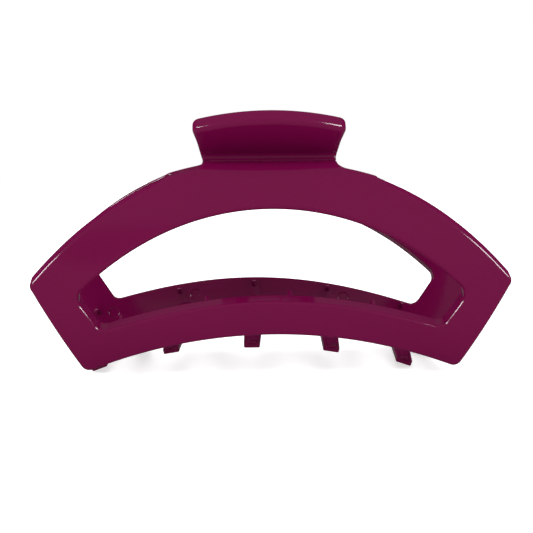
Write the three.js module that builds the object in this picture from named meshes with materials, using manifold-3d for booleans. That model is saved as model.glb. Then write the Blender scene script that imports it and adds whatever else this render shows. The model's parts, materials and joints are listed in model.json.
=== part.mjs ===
// Large open-frame claw hair clip, closed: two arched jaws, a hinge pin and a torsion spring.
// Millimetres, +Z up. X runs along the hinge, the front jaw lies at -Y, and the clip stands on z = 0.
import * as THREE from "three";
import { mergeVertices } from "three/addons/utils/BufferGeometryUtils.js";
import Module from "manifold-3d";

const wasm = await Module();
wasm.setup();

// Frame of a jaw. Its outline lies in a plane of X and S (up the jaw), and all its walls run square to that
// plane, along the direction in which the mould opens: inwards and up by mouldTilt.
const mouldTilt = THREE.MathUtils.degToRad(21.4);
const wall = 4.3;
const jawHalfWidth = 60;
const bandCrest = 13;
const bandHeight = 9;
const windowHeight = 21.6;
const railHeight = 7.8;
const bandDrop = 25.2;
const windowHalfTop = 49;
const windowTopDrop = 18.9;
const windowHalfFoot = 42.9;
const windowFootDrop = 6.6;
const footHalfWidth = 46.8;
const footDrop = 9.6;
const cornerRadius = 2.5;
const wideCornerRadius = 1.2;
// How far each outline curve is from a plain parabola: the share of its drop that goes with X to the fourth.
const bandFlatShare = 0.28;
const windowTopFlatShare = 0.18;
const windowFootFlatShare = -0.085;
const footFlatShare = 0.07;

// Side view of the outer face: where it passes the plane's origin, how it leans there, and its bow.
const faceOut = 26.4;
const faceHigh = 36.1;
const faceLeanShare = 0.585;
const faceBow = 58.8;

// Neck and bridge from the band to the hinge, and the thumb paddle on top of the bridge.
const neckHalfWidth = 17.35;
const neckWall = 4;
const rollStart = 8.5;
const bridgeTop = 52.4;
const paddleTilt = THREE.MathUtils.degToRad(50);
const paddleWall = 4.2;
const paddleEndOut = 22;
const paddleEndHigh = 62;
const paddleHalfWidth = 19.45;
const paddleBulge = 3.6;
const paddleCorner = 2;
const paddleRootRadius = 1.5;
const paddleRootSink = 0.02;

// Hinge: knuckles of the two jaws take turns along the pin, with the spring between the middle two.
const hingeHigh = 53.5;
const knuckleRadius = 3.5;
const knuckleWidth = 4.7;
const knuckleGap = 0.3;
const springBay = 14.4;
const bridgeGap = 0.8;
const pinRadius = 1.1;
const boreClearance = 0.3;
const pinInset = 0.8;

// Torsion spring round the pin.
const wireDiameter = 1;
const coilRadius = 2.4;
const coilPitch = 1.6;
const coilWholeTurns = 6;
const legLength = 11;

// Teeth and prongs of one jaw, with the little ribs between them and the round marks beside some prongs.
const toothWidth = 5.2;
const toothThick = 3.4;
const toothReach = 15;
const toothTipWidth = 4.1;
const toothTipThick = 2.5;
const toothLeanIn = 5;
const tipDrop = 1.5;
const prongBase = 0.95;
const prongTip = 0.65;
const prongLength = 4;
const prongBelowWindow = 2;
const ribWidth = 2.6;
const ribHeight = 0.9;
const markRadius = 1.5;
const markDepth = 0.2;
const markBeside = 4.7;
// Places of the teeth and marks across the clip, as shares of the half width of the rail's foot.
const frontToothShares = [-0.816, -0.348, 0.098, 0.551, 1.004];
const backToothShares = [-1.032, -0.532, -0.077, 0.374, 0.827];
const frontMarkShares = [];
const backMarkShares = [-1.032, -0.532, 0.374];
// Tooth tips over the outer two, which hang lowest, as shares of the arch of the rail.
const tipRiseShares = [0, 0.43, 0.54, 0.43, 0];
// Rings along a tooth, with how much it swells at the root and narrows at the nose.
const toothStationShares = [0, 0.12, 0.3, 0.6, 0.88, 0.96, 1];
const toothSwellShares = [1.4, 1.25, 1, 1, 1, 1, 1];
const toothNoseShares = [1, 1, 1, 1, 1, 0.75, 0.5];

const overrun = 20;
const curveSteps = 18;
const sheetSteps = 10;
const cornerSteps = 4;
const roundSteps = 24;
const barSides = 10;
const markSides = 16;
const wireSides = 5;
const stepsPerCurl = 8;
const mergeDistance = 1e-4;

const windowCrest = bandCrest - bandHeight;
const railTop = windowCrest - windowHeight;
const railFoot = railTop - railHeight;
const bandCurve = { crest: bandCrest, reach: jawHalfWidth, drop: bandDrop, flatShare: bandFlatShare };
const windowTopCurve = {
  crest: windowCrest,
  reach: windowHalfTop,
  drop: windowTopDrop,
  flatShare: windowTopFlatShare,
};
const windowFootCurve = {
  crest: railTop,
  reach: windowHalfFoot,
  drop: windowFootDrop,
  flatShare: windowFootFlatShare,
};
const footCurve = { crest: railFoot, reach: footHalfWidth, drop: footDrop, flatShare: footFlatShare };

const sinTilt = Math.sin(mouldTilt);
const cosTilt = Math.cos(mouldTilt);

// Height in the outline's plane of a curve at a place across the jaw.
function curveAt(curve, x) {
  const u = (x / curve.reach) ** 2;
  return curve.crest - curve.drop * ((1 - curve.flatShare) * u + curve.flatShare * u * u);
}

// Depth of the outer face, along the mould direction, at height s of the outline's plane.
function faceDepth(s) {
  return faceLeanShare * s + (s * s) / (2 * faceBow);
}

// Side view point (y, z) at height s, a given depth inside the outer face.
function sidePoint(s, inside) {
  const depth = faceDepth(s) + inside;
  const y = -faceOut - s * sinTilt + depth * cosTilt;
  const z = faceHigh + s * cosTilt + depth * sinTilt;
  return new THREE.Vector2(y, z);
}

function jawPoint(x, s, inside) {
  const p = sidePoint(s, inside);
  return new THREE.Vector3(x, p.x, p.y);
}

// A closed geometry as a solid, turned right side out.
function solidOf(geometry, matrix) {
  const plain = geometry.clone();
  plain.deleteAttribute("normal");
  plain.deleteAttribute("uv");
  if (matrix) plain.applyMatrix4(matrix);
  const merged = mergeVertices(plain, mergeDistance);
  const vertProperties = new Float32Array(merged.attributes.position.array);
  const triVerts = new Uint32Array(merged.index.array);
  const solid = new wasm.Manifold(new wasm.Mesh({ numProp: 3, vertProperties, triVerts }));
  if (solid.volume() > 0) return solid;
  const turned = triVerts.slice().reverse();
  return new wasm.Manifold(new wasm.Mesh({ numProp: 3, vertProperties, triVerts: turned }));
}

function joined(solids) {
  return solids.reduce((sum, solid) => sum.add(solid));
}

function meshOf(solid, name, material) {
  const made = solid.getMesh();
  const geometry = new THREE.BufferGeometry();
  geometry.setAttribute("position", new THREE.BufferAttribute(new Float32Array(made.vertProperties), 3));
  geometry.setIndex(new THREE.BufferAttribute(new Uint32Array(made.triVerts), 1));
  geometry.computeVertexNormals();
  const mesh = new THREE.Mesh(geometry, material);
  mesh.name = name;
  return mesh;
}

// A skin over rings of points, closed at both ends by a fan.
function lofted(rings) {
  const count = rings[0].length;
  const positions = [];
  for (const ring of rings) for (const p of ring) positions.push(p.x, p.y, p.z);
  const index = [];
  for (let r = 0; r + 1 < rings.length; r++) {
    for (let i = 0; i < count; i++) {
      const a = r * count + i;
      const b = r * count + ((i + 1) % count);
      index.push(a, b, a + count, b, b + count, a + count);
    }
  }
  const last = (rings.length - 1) * count;
  for (let i = 1; i + 1 < count; i++) {
    index.push(0, i + 1, i);
    index.push(last, last + i, last + i + 1);
  }
  const geometry = new THREE.BufferGeometry();
  geometry.setAttribute("position", new THREE.Float32BufferAttribute(positions, 3));
  geometry.setIndex(index);
  return solidOf(geometry);
}

// An ellipse of points round a centre, along two directions.
function ringAt(centre, across, up, halfAcross, halfUp, count) {
  const ring = [];
  for (let i = 0; i < count; i++) {
    const turn = ((i + 0.5) / count) * 2 * Math.PI;
    const p = centre.clone().addScaledVector(across, Math.cos(turn) * halfAcross);
    ring.push(p.addScaledVector(up, Math.sin(turn) * halfUp));
  }
  return ring;
}

// A side view outline (y, z) pushed along X from one place to another.
function alongX(shape, fromX, toX) {
  const geometry = new THREE.ExtrudeGeometry(shape, {
    depth: toX - fromX,
    bevelEnabled: false,
    curveSegments: roundSteps,
  });
  const matrix = new THREE.Matrix4().makeBasis(
    new THREE.Vector3(0, 1, 0),
    new THREE.Vector3(0, 0, 1),
    new THREE.Vector3(1, 0, 0),
  );
  matrix.setPosition(fromX, 0, 0);
  return solidOf(geometry, matrix);
}

function cylinderAlongX(radius, fromX, toX, y, z) {
  const shape = new THREE.Shape().absarc(y, z, radius, 0, 2 * Math.PI);
  return alongX(shape, fromX, toX);
}

// An outline of X and S pushed right through the jaw along the mould direction.
function alongMould(shape) {
  const geometry = new THREE.ExtrudeGeometry(shape, {
    depth: 2 * (jawHalfWidth + overrun),
    bevelEnabled: false,
    curveSegments: cornerSteps,
  });
  const matrix = new THREE.Matrix4().makeBasis(
    new THREE.Vector3(1, 0, 0),
    new THREE.Vector3(0, -sinTilt, cosTilt),
    new THREE.Vector3(0, -cosTilt, -sinTilt),
  );
  const start = jawHalfWidth + overrun;
  matrix.setPosition(0, -faceOut + start * cosTilt, faceHigh + start * sinTilt);
  return solidOf(geometry, matrix);
}

// Draws one outline curve from one place to another.
function followCurve(shape, curve, fromX, toX) {
  for (let i = 0; i <= curveSteps; i++) {
    const x = fromX + ((toX - fromX) * i) / curveSteps;
    shape.lineTo(x, curveAt(curve, x));
  }
}

// The place on the straight side between two corners that lies one radius from the first.
function offCorner(corner, other, radius) {
  return corner.clone().addScaledVector(other.clone().sub(corner).normalize(), radius);
}

function bandOutline() {
  const wide = new THREE.Vector2(jawHalfWidth, curveAt(bandCurve, jawHalfWidth));
  const foot = new THREE.Vector2(footHalfWidth, curveAt(footCurve, footHalfWidth));
  const wideOff = offCorner(wide, foot, wideCornerRadius);
  const footOff = offCorner(foot, wide, cornerRadius);
  const wideX = jawHalfWidth - wideCornerRadius;
  const footX = footHalfWidth - cornerRadius;
  const shape = new THREE.Shape();
  shape.moveTo(neckHalfWidth, rollStart);
  followCurve(shape, bandCurve, neckHalfWidth, wideX);
  shape.quadraticCurveTo(wide.x, wide.y, wideOff.x, wideOff.y);
  shape.lineTo(footOff.x, footOff.y);
  shape.quadraticCurveTo(foot.x, foot.y, footX, curveAt(footCurve, footX));
  followCurve(shape, footCurve, footX, -footX);
  shape.quadraticCurveTo(-foot.x, foot.y, -footOff.x, footOff.y);
  shape.lineTo(-wideOff.x, wideOff.y);
  shape.quadraticCurveTo(-wide.x, wide.y, -wideX, curveAt(bandCurve, wideX));
  followCurve(shape, bandCurve, -wideX, -neckHalfWidth);
  shape.lineTo(-neckHalfWidth, rollStart);
  return shape;
}

function windowOutline() {
  const top = new THREE.Vector2(windowHalfTop, curveAt(windowTopCurve, windowHalfTop));
  const foot = new THREE.Vector2(windowHalfFoot, curveAt(windowFootCurve, windowHalfFoot));
  const topOff = offCorner(top, foot, cornerRadius);
  const footOff = offCorner(foot, top, cornerRadius);
  const topX = windowHalfTop - cornerRadius;
  const footX = windowHalfFoot - cornerRadius;
  const shape = new THREE.Shape();
  shape.moveTo(topX, curveAt(windowTopCurve, topX));
  shape.quadraticCurveTo(top.x, top.y, topOff.x, topOff.y);
  shape.lineTo(footOff.x, footOff.y);
  shape.quadraticCurveTo(foot.x, foot.y, footX, curveAt(windowFootCurve, footX));
  followCurve(shape, windowFootCurve, footX, -footX);
  shape.quadraticCurveTo(-foot.x, foot.y, -footOff.x, footOff.y);
  shape.lineTo(-topOff.x, topOff.y);
  shape.quadraticCurveTo(-top.x, top.y, -topX, curveAt(windowTopCurve, topX));
  followCurve(shape, windowTopCurve, -topX, topX);
  return shape;
}

// The bowed sheet that the outlines are cut from.
function bowedSheet() {
  const low = curveAt(footCurve, footHalfWidth) - cornerRadius;
  const points = [];
  for (let i = 0; i <= sheetSteps; i++) {
    points.push(sidePoint(low + ((bandCrest + cornerRadius - low) * i) / sheetSteps, 0));
  }
  for (let i = sheetSteps; i >= 0; i--) {
    points.push(sidePoint(low + ((bandCrest + cornerRadius - low) * i) / sheetSteps, wall));
  }
  return alongX(new THREE.Shape(points), -jawHalfWidth - overrun, jawHalfWidth + overrun);
}

// Neck: the band's face rolls over into the level bridge, which ends short of the other jaw's knuckles.
function neck() {
  const start = sidePoint(rollStart, 0);
  const before = sidePoint(rollStart - wall, 0);
  const lean = Math.atan2(start.y - before.y, start.x - before.x);
  const rollRadius = (bridgeTop - start.y) / (1 - Math.cos(lean));
  const centreY = start.x + rollRadius * Math.sin(lean);
  const centreZ = bridgeTop - rollRadius;
  const bridgeEnd = -(knuckleRadius + bridgeGap);
  const low = sidePoint(windowCrest, 0);
  const lowIn = sidePoint(windowCrest, wall);
  const shape = new THREE.Shape();
  shape.moveTo(low.x, low.y);
  shape.lineTo(start.x, start.y);
  shape.absarc(centreY, centreZ, rollRadius, lean + Math.PI / 2, Math.PI / 2, true);
  shape.lineTo(bridgeEnd, bridgeTop);
  shape.lineTo(bridgeEnd, bridgeTop - neckWall);
  shape.absarc(centreY, centreZ, rollRadius - neckWall, Math.PI / 2, lean + Math.PI / 2, false);
  shape.lineTo(lowIn.x, lowIn.y);
  return alongX(shape, -neckHalfWidth, neckHalfWidth);
}

// Thumb paddle: a flat plate that leans outwards, flares a little and ends in a shallow arc.
function paddle() {
  const rise = (paddleEndHigh - bridgeTop + neckWall / 2) / Math.cos(paddleTilt);
  const shoulder = -paddleBulge;
  const shape = new THREE.Shape();
  shape.moveTo(-neckHalfWidth, -rise);
  shape.lineTo(neckHalfWidth, -rise);
  shape.lineTo(paddleHalfWidth, shoulder - paddleCorner);
  shape.quadraticCurveTo(paddleHalfWidth, shoulder, paddleHalfWidth - paddleCorner, shoulder);
  for (let i = 1; i < curveSteps; i++) {
    const u = 1 - (2 * i) / curveSteps;
    shape.lineTo(u * (paddleHalfWidth - paddleCorner), -paddleBulge * u * u);
  }
  shape.lineTo(paddleCorner - paddleHalfWidth, shoulder);
  shape.quadraticCurveTo(-paddleHalfWidth, shoulder, -paddleHalfWidth, shoulder - paddleCorner);
  const geometry = new THREE.ExtrudeGeometry(shape, {
    depth: paddleWall,
    bevelEnabled: false,
    curveSegments: cornerSteps,
  });
  const matrix = new THREE.Matrix4().makeBasis(
    new THREE.Vector3(1, 0, 0),
    new THREE.Vector3(0, -Math.sin(paddleTilt), Math.cos(paddleTilt)),
    new THREE.Vector3(0, -Math.cos(paddleTilt), -Math.sin(paddleTilt)),
  );
  const inner = new THREE.Vector2(Math.cos(paddleTilt), Math.sin(paddleTilt)).multiplyScalar(paddleWall);
  matrix.setPosition(0, -paddleEndOut + inner.x, paddleEndHigh + inner.y);
  return solidOf(geometry, matrix);
}

// Concave fillet under the paddle, where its outer face meets the level bridge.
function paddleRoot() {
  const apexY = -paddleEndOut + (paddleEndHigh - bridgeTop) * Math.tan(paddleTilt);
  const clear = paddleRootRadius - paddleRootSink;
  const centreY = apexY - clear / Math.tan(Math.PI / 4 - paddleTilt / 2);
  const centreZ = bridgeTop + clear;
  const shape = new THREE.Shape();
  shape.moveTo(apexY + paddleWall, bridgeTop - neckWall / 2);
  shape.lineTo(centreY, bridgeTop - neckWall / 2);
  shape.lineTo(centreY, bridgeTop - paddleRootSink);
  shape.absarc(centreY, centreZ, paddleRootRadius, -Math.PI / 2, paddleTilt, false);
  shape.lineTo(apexY, bridgeTop + paddleRootRadius);
  return alongX(shape, -neckHalfWidth, neckHalfWidth);
}

// The two knuckles of a jaw, each a barrel on a web that stands on the bridge.
function knuckles() {
  const nearX = springBay / 2;
  const outerX = nearX + knuckleWidth + knuckleGap;
  const webStart = -(knuckleRadius + bridgeGap + neckWall);
  const web = new THREE.Shape();
  web.moveTo(webStart, bridgeTop - neckWall);
  web.lineTo(-knuckleRadius - bridgeGap, bridgeTop - neckWall);
  web.lineTo(0, hingeHigh - knuckleRadius);
  web.lineTo(0, hingeHigh);
  web.lineTo(webStart, hingeHigh);
  const spans = [
    [nearX, nearX + knuckleWidth],
    [-outerX - knuckleWidth, -outerX],
  ];
  const solids = spans.flatMap(([fromX, toX]) => [
    cylinderAlongX(knuckleRadius, fromX, toX, 0, hingeHigh),
    alongX(web, fromX, toX),
  ]);
  return joined(solids);
}

// Where a tooth leaves the rail: under its prong, but inside the rail's foot corners.
function toothRootX(x) {
  return Math.sign(x) * Math.min(Math.abs(x), footHalfWidth - toothWidth / 2);
}

// One tooth: from inside the rail it swings inwards and down to a rounded tip past the clip's middle.
function tooth(x, riseShare, floor) {
  const share = x / footHalfWidth;
  const rootX = toothRootX(x);
  const root = jawPoint(rootX, curveAt(footCurve, rootX) + toothThick * 0.75, wall / 2);
  const tipHigh = floor - tipDrop + riseShare * footDrop + toothTipThick / 2;
  const tip = new THREE.Vector3(x - toothLeanIn * share * Math.abs(share), toothReach, tipHigh);
  const bend = new THREE.Vector3(rootX, -toothReach * 0.7, tipHigh + (root.z - tipHigh) * 0.35);
  const path = new THREE.QuadraticBezierCurve3(root, bend, tip);
  const across = new THREE.Vector3(1, 0, 0);
  const rings = toothStationShares.map((at, i) => {
    const along = path.getTangent(at);
    const up = new THREE.Vector3().crossVectors(across, along).normalize();
    const nose = toothNoseShares[i];
    const swell = toothSwellShares[i];
    const width = THREE.MathUtils.lerp(toothWidth, toothTipWidth, at) * swell * nose;
    const thick = THREE.MathUtils.lerp(toothThick, toothTipThick, at) * nose;
    return ringAt(path.getPoint(at), across, up, width / 2, thick / 2, barSides);
  });
  return lofted(rings);
}

// The rib up the rail's inner face from a tooth, and the prong that it ends in.
function ribAndProng(x) {
  const top = curveAt(windowFootCurve, x) - prongBelowWindow;
  const low = curveAt(footCurve, toothRootX(x)) + toothThick / 2;
  const across = new THREE.Vector3(1, 0, 0);
  const inwards = new THREE.Vector3(0, cosTilt, sinTilt);
  const upwards = new THREE.Vector3(0, -sinTilt, cosTilt);
  const ribEnds = [jawPoint(toothRootX(x), low, wall), jawPoint(x, top, wall)];
  const ribRings = ribEnds.map((end) =>
    ringAt(end, across, inwards, ribWidth / 2, ribHeight, barSides),
  );
  const base = jawPoint(x, top, wall - ribHeight);
  const tip = base.clone().addScaledVector(inwards, prongLength + ribHeight);
  const prongRings = [
    ringAt(base, across, upwards, prongBase, prongBase, barSides),
    ringAt(tip.clone().addScaledVector(inwards, -prongTip), across, upwards, prongTip, prongTip, barSides),
    ringAt(tip, across, upwards, prongTip / 2, prongTip / 2, barSides),
  ];
  return lofted(ribRings).add(lofted(prongRings));
}

// A shallow round dent in the rail's inner face.
function ejectorMark(x) {
  const s = curveAt(windowFootCurve, x) - prongBelowWindow - markRadius;
  const upwards = new THREE.Vector3(0, -sinTilt, cosTilt);
  const across = new THREE.Vector3(1, 0, 0);
  const rings = [wall - markDepth, wall + wall].map((inside) =>
    ringAt(jawPoint(x, s, inside), across, upwards, markRadius, markRadius, markSides),
  );
  return lofted(rings);
}

function jawFrame() {
  return bowedSheet().intersect(alongMould(bandOutline())).subtract(alongMould(windowOutline()));
}

// A whole jaw, as the front one stands: frame, neck, paddle, knuckles, teeth and prongs in one moulding.
function jawSolid(toothShares, markShares, turn) {
  const frame = jawFrame();
  const floor = frame.boundingBox().min[2];
  const places = toothShares.map((share) => share * footHalfWidth * turn);
  const rises = turn > 0 ? tipRiseShares : tipRiseShares.slice().reverse();
  const teeth = places.map((x, i) => tooth(x, rises[i], floor));
  const ribs = places.map((x) => ribAndProng(x));
  let solid = joined([frame, neck(), paddle(), paddleRoot(), knuckles(), ...teeth, ...ribs]);
  for (const share of markShares) {
    solid = solid.subtract(ejectorMark((share * footHalfWidth + markBeside) * turn));
  }
  const reach = neckHalfWidth + overrun;
  return solid.subtract(cylinderAlongX(pinRadius + boreClearance, -reach, reach, 0, hingeHigh));
}

// Spring: one wire, in from the end of its front leg, round the pin, and out along the back leg.
function springPath() {
  const lean = paddleTilt + Math.PI / 2;
  const startTurn = lean + Math.PI / 2;
  const endTurn = 2 * Math.PI - paddleTilt + 2 * Math.PI * coilWholeTurns;
  const steps = Math.round(((endTurn - startTurn) / (2 * Math.PI)) * stepsPerCurl);
  const coilLength = (coilPitch * (endTurn - startTurn)) / (2 * Math.PI);
  const legShares = [1, 1 - wireDiameter / legLength, 0.5];
  const places = [];
  const place = (turn, x, out) => {
    const radial = new THREE.Vector3(0, Math.cos(turn), Math.sin(turn));
    const along = new THREE.Vector3(0, -Math.sin(turn), Math.cos(turn));
    const centre = new THREE.Vector3(x, 0, hingeHigh).addScaledVector(radial, coilRadius);
    places.push({ centre: centre.addScaledVector(along, out), radial });
  };
  for (const share of legShares) place(startTurn, -coilLength / 2, -legLength * share);
  for (let i = 0; i <= steps; i++) {
    const share = i / steps;
    place(startTurn + (endTurn - startTurn) * share, coilLength * (share - 0.5), 0);
  }
  for (const share of legShares.slice().reverse()) place(endTurn, coilLength / 2, legLength * share);
  return places;
}

function springSolid() {
  const places = springPath();
  const sideways = new THREE.Vector3(1, 0, 0);
  const rings = places.map(({ centre, radial }) =>
    ringAt(centre, sideways, radial, wireDiameter / 2, wireDiameter / 2, wireSides),
  );
  return lofted(rings);
}

// Least gap between the wire and itself, on points half a turn or more apart along it.
function springGap() {
  const centres = springPath().map((place) => place.centre);
  let least = Infinity;
  for (let i = 0; i < centres.length; i++) {
    for (let j = i + stepsPerCurl / 2; j < centres.length; j++) {
      least = Math.min(least, centres[i].distanceTo(centres[j]) - wireDiameter);
    }
  }
  return least;
}

function pinSolid() {
  const half = springBay / 2 + 2 * knuckleWidth + knuckleGap - pinInset;
  return cylinderAlongX(pinRadius, -half, half, 0, hingeHigh);
}

const plastic = new THREE.MeshStandardMaterial({ color: 0x5a0a34, roughness: 0.15, metalness: 0 });
const steel = new THREE.MeshStandardMaterial({ color: 0xb9bcc0, roughness: 0.3, metalness: 1 });

const clip = new THREE.Group();
clip.name = "hair_clip";

const frontSolid = jawSolid(frontToothShares, frontMarkShares, 1);
const backSolid = jawSolid(backToothShares, backMarkShares, -1);
const frontJaw = meshOf(frontSolid, "front_jaw", plastic);
const backJaw = meshOf(backSolid, "back_jaw", plastic);
backJaw.rotation.z = Math.PI;
clip.add(frontJaw, backJaw);
clip.add(meshOf(pinSolid(), "hinge_pin", steel));
clip.add(meshOf(springSolid(), "spring", steel));

// The clip stands on the tips of the outer teeth.
const stand = -Math.min(frontSolid.boundingBox().min[2], backSolid.boundingBox().min[2]);
for (const piece of clip.children) piece.position.z = stand;

console.log("spring, least gap to itself: " + springGap().toFixed(3) + " mm");
console.log("hinge height: " + (hingeHigh + stand).toFixed(3) + " mm");

export default clip;
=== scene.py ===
import json
import math

import bmesh
import bpy
import numpy as np
from mathutils import Euler, Matrix, Vector
from mathutils.geometry import delaunay_2d_cdt


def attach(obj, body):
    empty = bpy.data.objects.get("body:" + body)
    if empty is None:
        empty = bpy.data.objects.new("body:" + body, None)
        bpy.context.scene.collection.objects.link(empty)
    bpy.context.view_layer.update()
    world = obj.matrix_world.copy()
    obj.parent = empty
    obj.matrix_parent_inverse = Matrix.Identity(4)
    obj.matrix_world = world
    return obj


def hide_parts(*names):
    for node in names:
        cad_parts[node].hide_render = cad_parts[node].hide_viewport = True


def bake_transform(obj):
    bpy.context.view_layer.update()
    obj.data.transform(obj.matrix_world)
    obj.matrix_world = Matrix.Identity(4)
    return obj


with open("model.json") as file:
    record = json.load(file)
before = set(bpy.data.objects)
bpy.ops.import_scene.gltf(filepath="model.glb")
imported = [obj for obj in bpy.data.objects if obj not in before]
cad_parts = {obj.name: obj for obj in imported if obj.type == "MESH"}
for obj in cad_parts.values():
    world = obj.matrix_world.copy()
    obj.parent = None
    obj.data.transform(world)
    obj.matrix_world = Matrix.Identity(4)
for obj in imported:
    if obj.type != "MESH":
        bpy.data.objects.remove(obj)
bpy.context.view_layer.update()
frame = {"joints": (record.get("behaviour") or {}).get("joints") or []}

# Camera: a short telephoto, a little to the left of the clip's middle and at the height of its hinge, tipped
# down by about five degrees and very slightly rolled. Its lens is worked out for a picture 533 pixels wide.
mm = 0.001
hinge = frame["joints"][0]
hinge_high = hinge["pos_m"][2] / mm
camera_place = Vector((-10.4, -348.5, hinge_high + 1.6)) * mm
camera_heading = math.radians(-1.62)
camera_dip = math.radians(5.13)
camera_roll = math.radians(-0.56)
picture_pixels = 533
focal_pixels = 1297.5

camera_data = bpy.data.cameras.new("camera")
camera_data.sensor_width = 36.0
camera_data.lens = camera_data.sensor_width * focal_pixels / picture_pixels
camera_data.clip_start = 10 * mm
camera_data.clip_end = 5.0
camera = bpy.data.objects.new("camera", camera_data)
turn = Euler((math.pi / 2 - camera_dip, 0, camera_heading), "XYZ").to_matrix()
camera.matrix_world = Matrix.Translation(camera_place) @ (turn @ Matrix.Rotation(camera_roll, 3, "Z")).to_4x4()
bpy.context.scene.collection.objects.link(camera)
bpy.context.scene.camera = camera


# Front jaw: one injection moulding in glossy burgundy plastic. Its arched frame, rail, neck and bridge are one
# bowed sheet whose walls all run along the mould's opening direction, with small rounded edges.
# Lengths are in millimetres while the jaw is made, and become metres with its mesh.
mould_tilt = math.radians(21.4)
wall = 4.3
face_out = 26.4
face_high = hinge_high - 17.4
face_lean = 0.585
face_bow = 58.8
roll_start = 8.5
bridge_top = hinge_high - 1.1
bridge_wall = 4.0
bridge_end = -4.3
neck_half = 17.35
neck_blend_from = 23.0
neck_blend_to = 34.0
neck_fillet = 3.2
wall_blend = 22.0
turn_start = 6.5
neck_corner = 1.5
outer_edge = 0.95
inner_edge = 0.55
foot_round = 2.2
wide_round = 1.9
foot_askew = 1.35
window_round = 2.6
loop_step = 0.6
loop_least = loop_step / 5
fewest_on_line = 3
fewest_on_curve = 4
corner_points = 12
skin_step = 1.0
skin_clear = 0.3
join_tolerance = 1e-7
tiny_step = 0.01

# Each outline curve: height at the middle, half width that it reaches, drop there, and how flat it runs.
band_curve = (13.0, 60.0, 25.2, 0.28)
window_top_curve = (3.2, 49.0, 18.95, 0.18)
window_foot_curve = (-17.25, 42.9, 7.0, -0.085)
foot_curve = (-25.95, 47.2, 9.75, 0.07)
wide_reach = 60.6
bar_spread_from = 10
foot_spread_run = 8

sin_tilt = math.sin(mould_tilt)
cos_tilt = math.cos(mould_tilt)


def curve_at(curve, x):
    """Height of an outline curve at x."""
    crest, reach, drop, flat = curve
    u = (x / reach) ** 2
    return crest - drop * ((1 - flat) * u + flat * u * u)


def eased(low, high, value):
    """From 0 to 1 while a value goes from low to high, easing in and out."""
    t = np.clip((value - low) / (high - low), 0, 1)
    return t * t * (3 - 2 * t)


def face_side(s):
    """Side view (y, z) of the bowed outer face at height s of the outline's plane."""
    depth = face_lean * s + s * s / (2 * face_bow)
    return -face_out - s * sin_tilt + depth * cos_tilt, face_high + s * cos_tilt + depth * sin_tilt


# The neck leaves the face at roll_start, rolls over on one radius and runs level to the hinge.
roll_y, roll_z = face_side(roll_start)
near_y, near_z = face_side(roll_start - tiny_step)
roll_pace = math.hypot(roll_y - near_y, roll_z - near_z) / tiny_step
roll_lean = math.atan2(roll_z - near_z, roll_y - near_y)
roll_radius = (bridge_top - roll_z) / (1 - math.cos(roll_lean))
roll_centre = (roll_y + roll_radius * math.sin(roll_lean), bridge_top - roll_radius)
roll_length = roll_radius * roll_lean
neck_end = roll_start + (roll_length + bridge_end - roll_centre[0]) / roll_pace


def neck_side(s):
    """Side view (y, z) of the neck: the face, then the roll, then the level bridge."""
    along = (s - roll_start) * roll_pace
    angle = roll_lean + math.pi / 2 - np.clip(along, 0, roll_length) / roll_radius
    level = np.clip(along - roll_length, 0, None)
    y = roll_centre[0] + roll_radius * np.cos(angle) + level
    z = roll_centre[1] + roll_radius * np.sin(angle)
    low_y, low_z = face_side(s)
    return np.where(along > 0, y, low_y), np.where(along > 0, z, low_z)


def outer_skin(x, s):
    """The sheet's outer surface at x and outline height s: the bowed face, and the neck near the middle."""
    face_y, face_z = face_side(s)
    neck_y, neck_z = neck_side(s)
    on_neck = 1 - eased(neck_blend_from, neck_blend_to, np.abs(x))
    y = face_y + (neck_y - face_y) * on_neck
    z = face_z + (neck_z - face_z) * on_neck
    return np.stack([x, y, z], -1)


def skin_wall(x, s):
    """From the outer skin to the inner one: along the mould direction, turning downwards under the bridge."""
    on_neck = 1 - eased(neck_half, neck_half + wall_blend, np.abs(x))
    turned = eased(turn_start, roll_start + roll_length / roll_pace, s) * on_neck
    angle = mould_tilt + (-math.pi / 2 - mould_tilt) * turned
    thick = wall + (bridge_wall - wall) * turned
    return np.stack([0 * x, thick * np.cos(angle), thick * np.sin(angle)], -1)


def unit(v):
    """Vectors of length 1."""
    return v / np.maximum(np.linalg.norm(v, axis=-1, keepdims=True), 1e-12)


def skin_normal(skin, x, s, outside):
    """Surface normal of a skin by small steps, on the side that the sign of outside gives."""
    across = skin(x + tiny_step, s) - skin(x - tiny_step, s)
    up = skin(x, s + tiny_step) - skin(x, s - tiny_step)
    return unit(np.cross(across, up)) * outside


def smooth_corner(first, second, radius):
    """Joins two rows of outline points with a rounded corner, and drops what the corner cuts away."""
    def trimmed(points, distance):
        gone = np.cumsum(np.linalg.norm(np.diff(points, axis=0), axis=1))
        keep = int(np.searchsorted(gone, distance))
        before = gone[keep - 1] if keep else 0.0
        part = (distance - before) / (gone[keep] - before)
        start = points[keep] + (points[keep + 1] - points[keep]) * part
        return np.vstack([start, points[keep + 1:]])

    into = unit(first[-1] - first[-2])
    out = unit(second[1] - second[0])
    bend = math.acos(float(np.clip(into @ out, -1, 1)))
    distance = radius * math.tan(bend / 2)
    first = trimmed(first[::-1], distance)[::-1]
    second = trimmed(second, distance)
    handle = 4 / 3 * math.tan(bend / 4) * radius
    a, d = first[-1], second[0]
    b = a + unit(first[-1] - first[-2]) * handle
    c = d - unit(second[1] - second[0]) * handle
    t = np.linspace(0, 1, corner_points + 2)[1:-1, None]
    arc = a * (1 - t) ** 3 + 3 * b * t * (1 - t) ** 2 + 3 * c * t * t * (1 - t) + d * t ** 3
    return first, arc, second


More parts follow.
